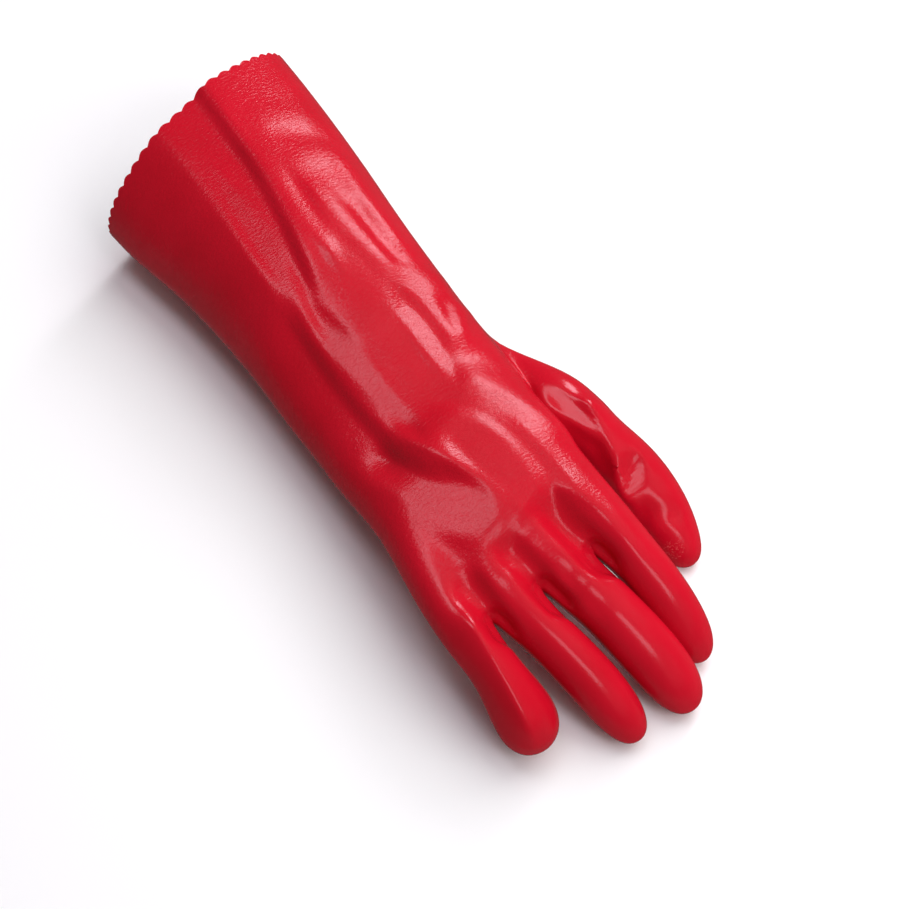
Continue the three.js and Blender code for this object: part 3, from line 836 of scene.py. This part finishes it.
depth = add_node(tree, "ShaderNodeMix", {"data_type": "FLOAT"}, {3: 1.4})
relief = add_node(tree, "ShaderNodeMath", {"operation": "MULTIPLY"})
bump = add_node(tree, "ShaderNodeBump", None, {"Strength": 1.0, "Distance": 0.00026})
print("coating:", len(tree.nodes), "nodes")

# %% [markdown]
# ## Joining the nodes
#
# Colour first, then gloss, then relief. Wherever a value differs on the inside, a mix by the
# inside mark comes last.

# %% Join the nodes of the coating
link(
    tree,
    (coords.outputs["Object"], knit.inputs["Vector"]),
    (coords.outputs["Object"], shade.inputs["Vector"]),
    (coords.outputs["Object"], gloss.inputs["Vector"]),
    (coords.outputs["Object"], scuff.inputs["Vector"]),
    (shade.outputs["Value"], red.inputs[0]),
    (scuff.outputs["Mask"], worn.inputs[0]),
    (red.outputs[2], worn.inputs[6]),
    (inside.outputs["Fac"], colour.inputs[0]),
    (worn.outputs[2], colour.inputs[6]),
    (colour.outputs[2], surface.inputs["Base Color"]),
    (limb.outputs["Fac"], smoother.inputs[0]),
    (gloss.outputs["Value"], smoother.inputs[2]),
    (inside.outputs["Fac"], rough.inputs[0]),
    (smoother.outputs[0], rough.inputs[2]),
    (rough.outputs[0], surface.inputs["Roughness"]),
    (inside.outputs["Fac"], coat.inputs[0]),
    (coat.outputs[0], surface.inputs["Coat Weight"]),
    (limb.outputs["Fac"], faint.inputs[0]),
    (inside.outputs["Fac"], depth.inputs[0]),
    (faint.outputs[0], depth.inputs[2]),
    (knit.outputs["Height"], relief.inputs[0]),
    (depth.outputs[0], relief.inputs[1]),
    (relief.outputs["Value"], bump.inputs["Height"]),
    (bump.outputs["Normal"], surface.inputs["Normal"]),
)
print("coating:", len(tree.links), "links")

# %% [markdown]
# ## Pinking shears as a node tree
#
# One tooth is an arch, so a row of them is the absolute value of a sine along the rim. The tree
# moves the outer points of the strip back by it. The number of teeth, their depth and the
# material are its inputs. Modelling one tooth and copying it would leave seams between teeth.

# %% The pinking tree
def pinking_tree():
    """The node tree that cuts the teeth, with the names of its inputs."""
    tree = bpy.data.node_groups.new("pinked_edge", "GeometryNodeTree")
    face = tree.interface
    face.new_socket("Geometry", in_out="INPUT", socket_type="NodeSocketGeometry")
    teeth = face.new_socket("Teeth", in_out="INPUT", socket_type="NodeSocketFloat")
    deep = face.new_socket("Depth", in_out="INPUT", socket_type="NodeSocketFloat")
    finish = face.new_socket("Material", in_out="INPUT", socket_type="NodeSocketMaterial")
    face.new_socket("Geometry", in_out="OUTPUT", socket_type="NodeSocketGeometry")
    start = tree.nodes.new("NodeGroupInput")
    end = tree.nodes.new("NodeGroupOutput")
    turn = add_node(tree, "GeometryNodeInputNamedAttribute", {"data_type": "FLOAT"}, {"Name": "turn"})
    edge = add_node(tree, "GeometryNodeInputNamedAttribute", {"data_type": "FLOAT"}, {"Name": "edge"})
    steps = add_node(tree, "ShaderNodeMath", {"operation": "MULTIPLY"})
    angle = add_node(tree, "ShaderNodeMath", {"operation": "MULTIPLY"}, {1: math.pi})
    wave = add_node(tree, "ShaderNodeMath", {"operation": "SINE"})
    bow = add_node(tree, "ShaderNodeMath", {"operation": "ABSOLUTE"})
    notch = add_node(tree, "ShaderNodeMath", {"operation": "SUBTRACT"}, {1: 1.0})
    cut = add_node(tree, "ShaderNodeMath", {"operation": "MULTIPLY"})
    only_edge = add_node(tree, "ShaderNodeMath", {"operation": "MULTIPLY"})
    shift = tree.nodes.new("ShaderNodeCombineXYZ")
    move = tree.nodes.new("GeometryNodeSetPosition")
    real = tree.nodes.new("GeometryNodeRealizeInstances")
    dress = tree.nodes.new("GeometryNodeSetMaterial")
    link(
        tree,
        (turn.outputs["Attribute"], steps.inputs[0]),
        (start.outputs["Teeth"], steps.inputs[1]),
        (steps.outputs[0], angle.inputs[0]),
        (angle.outputs[0], wave.inputs[0]),
        (wave.outputs[0], bow.inputs[0]),
        (bow.outputs[0], notch.inputs[0]),
        (notch.outputs[0], cut.inputs[0]),
        (start.outputs["Depth"], cut.inputs[1]),
        (cut.outputs[0], only_edge.inputs[0]),
        (edge.outputs["Attribute"], only_edge.inputs[1]),
        (only_edge.outputs[0], shift.inputs["Y"]),
        (start.outputs["Geometry"], move.inputs["Geometry"]),
        (shift.outputs["Vector"], move.inputs["Offset"]),
        (move.outputs["Geometry"], real.inputs["Geometry"]),
        (real.outputs["Geometry"], dress.inputs["Geometry"]),
        (start.outputs["Material"], dress.inputs["Material"]),
        (dress.outputs["Geometry"], end.inputs["Geometry"]),
    )
    return tree, {"teeth": teeth.identifier, "depth": deep.identifier, "material": finish.identifier}


pinking, sockets = pinking_tree()
print("pinking tree:", len(pinking.nodes), "nodes")

# %% [markdown]
# ## Cutting the teeth
#
# The modifier gets its inputs before it is first worked out, and is then turned into plain
# mesh, so that nothing live is left on the glove.

# %% Cut the teeth
cut_teeth = whole.modifiers.new("pinked_edge", "NODES")
cut_teeth.node_group = pinking
cut_teeth[sockets["teeth"]] = float(TEETH)
cut_teeth[sockets["depth"]] = TOOTH_DEPTH
cut_teeth[sockets["material"]] = coating
whole_mesh = flatten_modifiers(whole, "glove_whole")
print("pinked skin:", len(whole_mesh.polygons), "faces")

# %% [markdown]
# ## Wall and floor contact
#
# The glove is soft, so it flattens a little where it lies: nothing goes below the floor. Then the
# Solidify modifier gives the wall its thickness inwards, from the pinked edge to the fingertips.
# A second material slot tells its inner faces apart for the next step.

# %% Flatten and thicken
places = read_places(whole_mesh)
places[:, 2] = np.maximum(places[:, 2], 0.0)
write_places(whole_mesh, places)
whole_mesh.materials.clear()
whole_mesh.materials.append(coating)
whole_mesh.materials.append(coating)
wall = whole.modifiers.new("wall", "SOLIDIFY")
wall.thickness = WALL
wall.offset = -1.0
wall.use_quality_normals = True
wall.material_offset = 1
wall.material_offset_rim = 0
glove_mesh = flatten_modifiers(whole, "glove_body")
print("wall of", WALL, "mm:", len(glove_mesh.polygons), "faces")

# %% [markdown]
# ## Marking the inside
#
# The wall's two slots have told inner from outer faces. That becomes a mark on the faces, and
# one material is left.

# %% Mark the inner faces
inside_share = np.array([float(face.material_index) for face in glove_mesh.polygons], dtype=np.float32)
for face in glove_mesh.polygons:
    face.material_index = 0
glove_mesh.materials.clear()
glove_mesh.materials.append(coating)
marked = glove_mesh.attributes.new("inside", "FLOAT", "FACE")
marked.data.foreach_set("value", inside_share)
print("inner faces:", int(inside_share.sum()))

# %% [markdown]
# ## In its place
#
# The mesh is scaled to metres and laid where the CAD glove lies: its middle over the middle of
# the CAD box, its underside on the floor. Then it takes the place of the plain CAD solid.

# %% Place the glove
SHARP_EDGE = math.radians(50)
low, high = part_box("glove_shell")
places = read_places(glove_mesh) * MM
middle = (places.min(axis=0) + places.max(axis=0)) / 2
cad_middle = (Vector(low) + Vector(high)) / 2
shift = np.array([cad_middle.x - middle[0], cad_middle.y - middle[1], low[2]])
write_places(glove_mesh, places + shift)
glove_mesh.shade_smooth()
glove_mesh.set_sharp_from_angle(angle=SHARP_EDGE)
print("shift in metres:", shift, "faces:", len(glove_mesh.polygons))

bpy.data.objects.remove(skin)
whole.name = "glove_body"
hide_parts("glove_shell")
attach(whole, "root")

# %% [markdown]
# ## Floor
#
# The glove lies on a plain white surface, as in a product photograph. A curved sweep would do
# as well, but the camera looks down, so a flat sheet much wider than the view is enough. It is
# left out of the reflections, because a white glare from below would grey the red.

# %% Floor
FLOOR_HALF = 4.0
FLOOR_WHITE = (0.92, 0.92, 0.92, 1)
floor = new_object(
    "floor",
    [(x * FLOOR_HALF, y * FLOOR_HALF, 0) for x, y in ((-1, -1), (1, -1), (1, 1), (-1, 1))],
    [(0, 1, 2, 3)],
)
white = bpy.data.materials.new("white_sweep")
white.use_nodes = True
paper = white.node_tree.nodes["Principled BSDF"]
paper.inputs["Base Color"].default_value = FLOOR_WHITE
paper.inputs["Roughness"].default_value = 0.95
floor.data.materials.append(white)
floor.visible_glossy = False
print("floor of", 2 * FLOOR_HALF, "metres")

# %% [markdown]
# ## Light
#
# What a glossy thing looks like is mostly what it mirrors. So the three lights that it mirrors
# are narrow and stand where the photographed highlights call for them: one behind on the
# thumb's side, one over the hand and one over the fingers. The two that only brighten it are
# wide and left out of its reflections.

# %% Light
COOL_WHITE = (0.97, 0.90, 1.0)
target = Vector((0, 0, 30)) * MM + Vector(shift)


def softbox(name, toward, distance, size, brightness, mirrored=True):
    """A rectangle of light that faces the glove; brightness is its radiance."""
    data = bpy.data.lights.new(name, "AREA")
    data.shape = "RECTANGLE"
    data.color = COOL_WHITE if mirrored else (1.0, 1.0, 1.0)
    data.size, data.size_y = size
    data.energy = brightness * math.pi * size[0] * size[1]
    box = bpy.data.objects.new(name, data)
    way = Vector(toward).normalized()
    box.location = target + way * distance
    box.rotation_mode = "QUATERNION"
    box.rotation_quaternion = way.to_track_quat("Z", "Y")
    box.visible_glossy = mirrored
    bpy.context.scene.collection.objects.link(box)
    return box


softbox("key", (0.78, 0.38, 0.50), 1.4, (0.30, 0.60), 9.0)
softbox("over_hand", (-0.08, 0.26, 0.96), 1.4, (0.34, 0.72), 4.2)
softbox("over_fingers", (0.05, -0.50, 0.86), 1.4, (0.30, 0.85), 3.2)
softbox("wide", (0.55, 0.10, 0.80), 1.6, (1.5, 1.5), 3.2, mirrored=False)
softbox("front", (0.30, -0.75, 0.60), 1.6, (1.5, 1.2), 2.2, mirrored=False)
world = bpy.data.worlds.new("pale_room")
world.use_nodes = True
world.node_tree.nodes["Background"].inputs["Color"].default_value = (1, 1, 1, 1)
world.node_tree.nodes["Background"].inputs["Strength"].default_value = 0.10
bpy.context.scene.world = world
bpy.context.scene.view_settings.view_transform = "Standard"
print("lights:", [light.name for light in bpy.data.lights])

# %% [markdown]
# ## Camera
#
# The photograph looks down on the glove from beyond the fingertips and the little finger's
# side. A long lens keeps its lines calm. The camera is moved sideways, not turned, until the
# glove's middle falls where it lies in the photograph.

# %% Camera
CAMERA_AZIMUTH, CAMERA_ELEVATION = math.radians(-36), math.radians(60)
CAMERA_DISTANCE = 933 * MM
FOCAL_LENGTH, SENSOR, FRAME = 85.0, 36.0, 909
TARGET_PIXEL = (413, 407)

back = Vector(
    (
        math.sin(CAMERA_AZIMUTH) * math.cos(CAMERA_ELEVATION),
        -math.cos(CAMERA_AZIMUTH) * math.cos(CAMERA_ELEVATION),
        math.sin(CAMERA_ELEVATION),
    )
)
right = Vector((math.cos(CAMERA_AZIMUTH), math.sin(CAMERA_AZIMUTH), 0))
up = back.cross(right)
per_pixel = CAMERA_DISTANCE / (FRAME * FOCAL_LENGTH / SENSOR)
off_x = (TARGET_PIXEL[0] - FRAME / 2) * per_pixel
off_y = (TARGET_PIXEL[1] - FRAME / 2) * per_pixel
camera_data = bpy.data.cameras.new("camera")
camera_data.lens = FOCAL_LENGTH
camera_data.sensor_width = SENSOR
camera_data.clip_start = 0.01
camera = bpy.data.objects.new("camera", camera_data)
camera.location = target + back * CAMERA_DISTANCE - right * off_x + up * off_y
camera.rotation_mode = "QUATERNION"
camera.rotation_quaternion = Matrix((right, up, back)).transposed().to_quaternion()
bpy.context.scene.collection.objects.link(camera)
bpy.context.scene.camera = camera
print("camera at", [round(value, 3) for value in camera.location])
